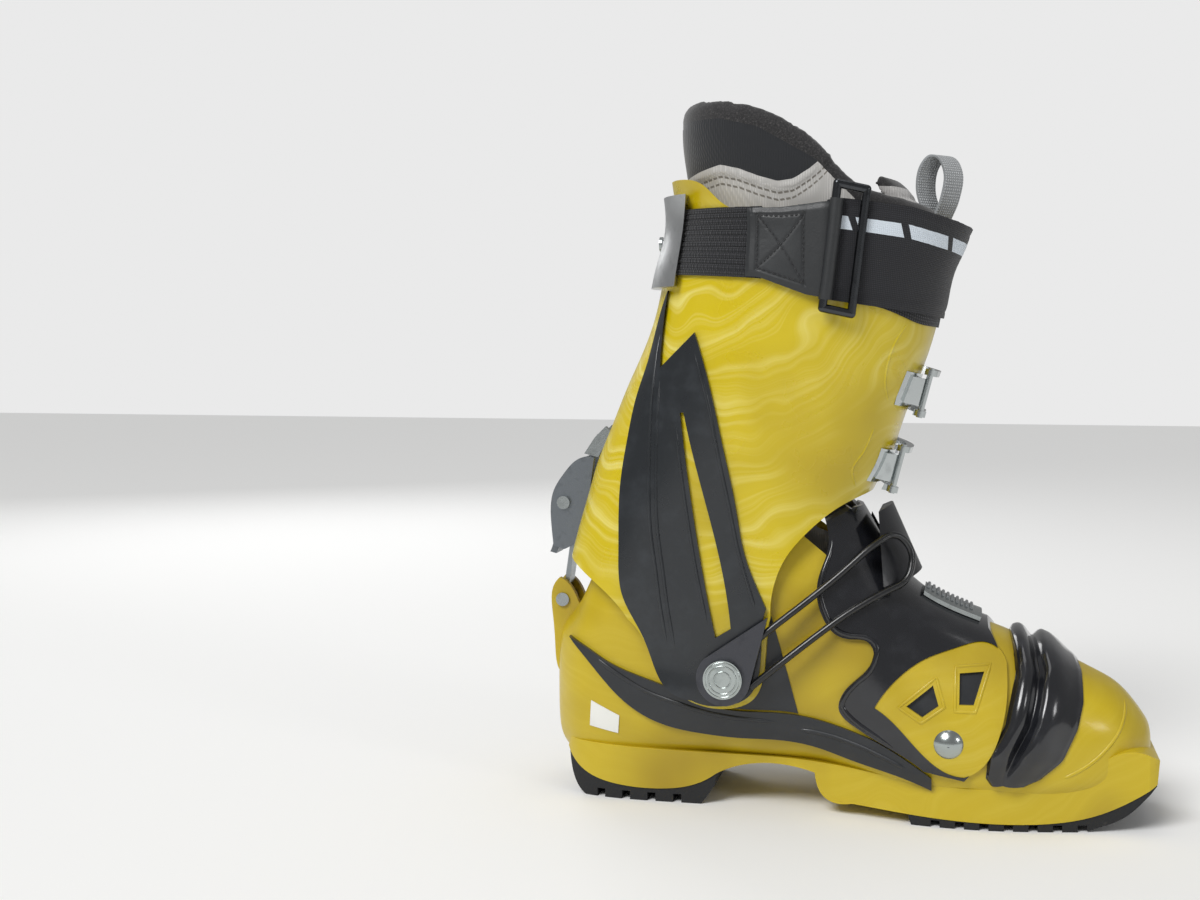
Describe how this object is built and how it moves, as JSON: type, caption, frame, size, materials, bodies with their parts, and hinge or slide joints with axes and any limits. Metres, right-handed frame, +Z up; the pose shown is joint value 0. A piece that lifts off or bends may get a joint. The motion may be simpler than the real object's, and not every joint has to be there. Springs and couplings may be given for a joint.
{
  "type": "ski touring boot",
  "caption": "Left ski touring boot: two-piece yellow shell hinged at the ankle, black trim, bellows, metal buckles, walk lever, strap and padded liner.",
  "frame": {"origin": "on the floor under the boot, half way along the sole, in the plane that halves the heel and the ankle", "axes": "+X to the toe, +Y to the outer side of a left foot, +Z up"},
  "size_m": [0.321, 0.1309, 0.3682],
  "materials": {
    "shell": "translucent tinted injection-moulded polymer",
    "cuff": "translucent tinted moulded polymer with flow streaks",
    "flap": "glossy soft moulded polymer",
    "bellows": "glossy soft moulded polymer",
    "trim": "satin moulded polymer",
    "overlay": "satin moulded polymer",
    "panel": "moulded polymer",
    "guide": "glass-filled nylon",
    "ladder_plastic": "flexible polymer strap",
    "board": "moulded board",
    "plate": "cast and painted grey",
    "rivet": "stamped steel",
    "steel": "zinc plated steel",
    "washer": "acetal washer",
    "catch": "polished steel",
    "bail": "polished steel",
    "buckle": "anodised aluminium",
    "lever": "anodised aluminium",
    "walk_lever": "cast aluminium",
    "housing": "cast aluminium",
    "lock_bar": "stamped steel",
    "ring": "black-plated and worn steel",
    "retainer": "satin cast aluminium",
    "outsole": "lugged rubber",
    "liner": "neoprene-faced foam",
    "tongue": "felt-faced foam",
    "loop": "woven webbing",
    "webbing": "woven elastic webbing",
    "strap_rubber": "stitched rubber-coated fabric",
    "cable": "plastic-sheathed steel cable",
    "label": "blank sticker"
  },
  "bodies": {
    "lower": {"ankle_gusset_lateral": "trim", "ankle_gusset_medial": "trim", "ankle_plate_lateral": "plate", "ankle_plate_medial": "plate", "ankle_rivet_lateral": "rivet", "ankle_rivet_medial": "rivet", "boot_board": "board", "cable_guide": "guide", "forefoot_outsole": "outsole", "heel_outsole": "outsole", "heel_spur_pin": "steel", "instep_buckle_base": "buckle", "instep_buckle_hinge": "steel", "instep_cable": "cable", "instep_flap": "flap", "instep_strap": "ladder_plastic", "liner_foot": "liner", "lower_shell": "shell", "metatarsal_panel_lateral": "panel", "metatarsal_panel_medial": "panel", "panel_rivets": "rivet", "pivot_washers": "washer", "side_rail_lateral": "trim", "side_rail_medial": "trim", "size_label": "label", "toe_bellows": "bellows", "toe_buckle_base": "buckle", "toe_buckle_hinge": "steel", "toe_ladder": "steel", "toe_pin_plate": "steel"},
    "cuff": {"cuff_buckle_base_lower": "buckle", "cuff_buckle_base_upper": "buckle", "cuff_buckle_hinge_lower": "steel", "cuff_buckle_hinge_upper": "steel", "cuff_catches": "catch", "cuff_overlay_lateral": "overlay", "cuff_overlay_medial": "overlay", "housing_hook": "steel", "liner_cuff": "liner", "liner_tongue": "tongue", "power_strap_front": "webbing", "power_strap_ring": "ring", "power_strap_tab": "strap_rubber", "power_strap_webbing": "webbing", "pull_loop": "loop", "retainer_screw": "steel", "strap_retainer": "retainer", "upper_cuff": "cuff", "walk_housing": "housing", "walk_lever_pin": "steel"},
    "walk_lever": {"walk_lever": "walk_lever"},
    "lock_bar": {"lock_bar": "lock_bar"},
    "upper_lever": {"cuff_buckle_lever_upper": "lever"},
    "upper_bail": {"cuff_buckle_bail_upper": "bail"},
    "lower_lever": {"cuff_buckle_lever_lower": "lever"},
    "lower_bail": {"cuff_buckle_bail_lower": "bail"},
    "instep_lever": {"instep_buckle_lever": "lever"},
    "toe_lever": {"toe_buckle_lever": "lever"}
  },
  "joints": [
    {"name": "cuff_hinge", "type": "hinge", "parent": "lower", "child": "cuff", "pos_m": [-0.061, 0, 0.073], "axis": [0, 1, 0], "range_deg": [-12, 4]},
    {"name": "lock_bar_swing", "type": "hinge", "parent": "lower", "child": "lock_bar", "pos_m": [-0.158, 0, 0.103], "axis": [0, 1, 0], "range_deg": [-19, 7]},
    {"name": "walk_lever_turn", "type": "hinge", "parent": "cuff", "child": "walk_lever", "pos_m": [-0.157, 0, 0.157], "axis": [0, 1, 0], "range_deg": [0, 70]},
    {"name": "upper_lever_turn", "type": "hinge", "parent": "cuff", "child": "upper_lever", "pos_m": [0.02464, 0.03691, 0.22186], "axis": [-0.2419, 0, -0.9703], "range_deg": [0, 110]},
    {"name": "upper_bail_turn", "type": "hinge", "parent": "upper_lever", "child": "upper_bail", "pos_m": [0.02182, 0.04856, 0.22256], "axis": [0.2419, 0, 0.9703], "range_deg": [0, 110]},
    {"name": "lower_lever_turn", "type": "hinge", "parent": "cuff", "child": "lower_lever", "pos_m": [0.01755, 0.02899, 0.18063], "axis": [-0.2419, 0, -0.9703], "range_deg": [0, 110]},
    {"name": "lower_bail_turn", "type": "hinge", "parent": "lower_lever", "child": "lower_bail", "pos_m": [0.01589, 0.04087, 0.18104], "axis": [0.2419, 0, 0.9703], "range_deg": [0, 110]},
    {"name": "instep_lever_turn", "type": "hinge", "parent": "lower", "child": "instep_lever", "pos_m": [0.00568, 0.05891, 0.0808], "axis": [0.9707, 0, -0.2402], "range_deg": [0, 100]},
    {"name": "toe_lever_turn", "type": "hinge", "parent": "lower", "child": "toe_lever", "pos_m": [0.04611, 0.05926, 0.07867], "axis": [0.9536, 0, -0.3011], "range_deg": [0, 100]}
  ],
  "couplings": [
    {"joint": "lock_bar_swing", "follows": "cuff_hinge", "ratio": 1.5},
    {"joint": "upper_bail_turn", "follows": "upper_lever_turn", "ratio": 1},
    {"joint": "lower_bail_turn", "follows": "lower_lever_turn", "ratio": 1}
  ]
}
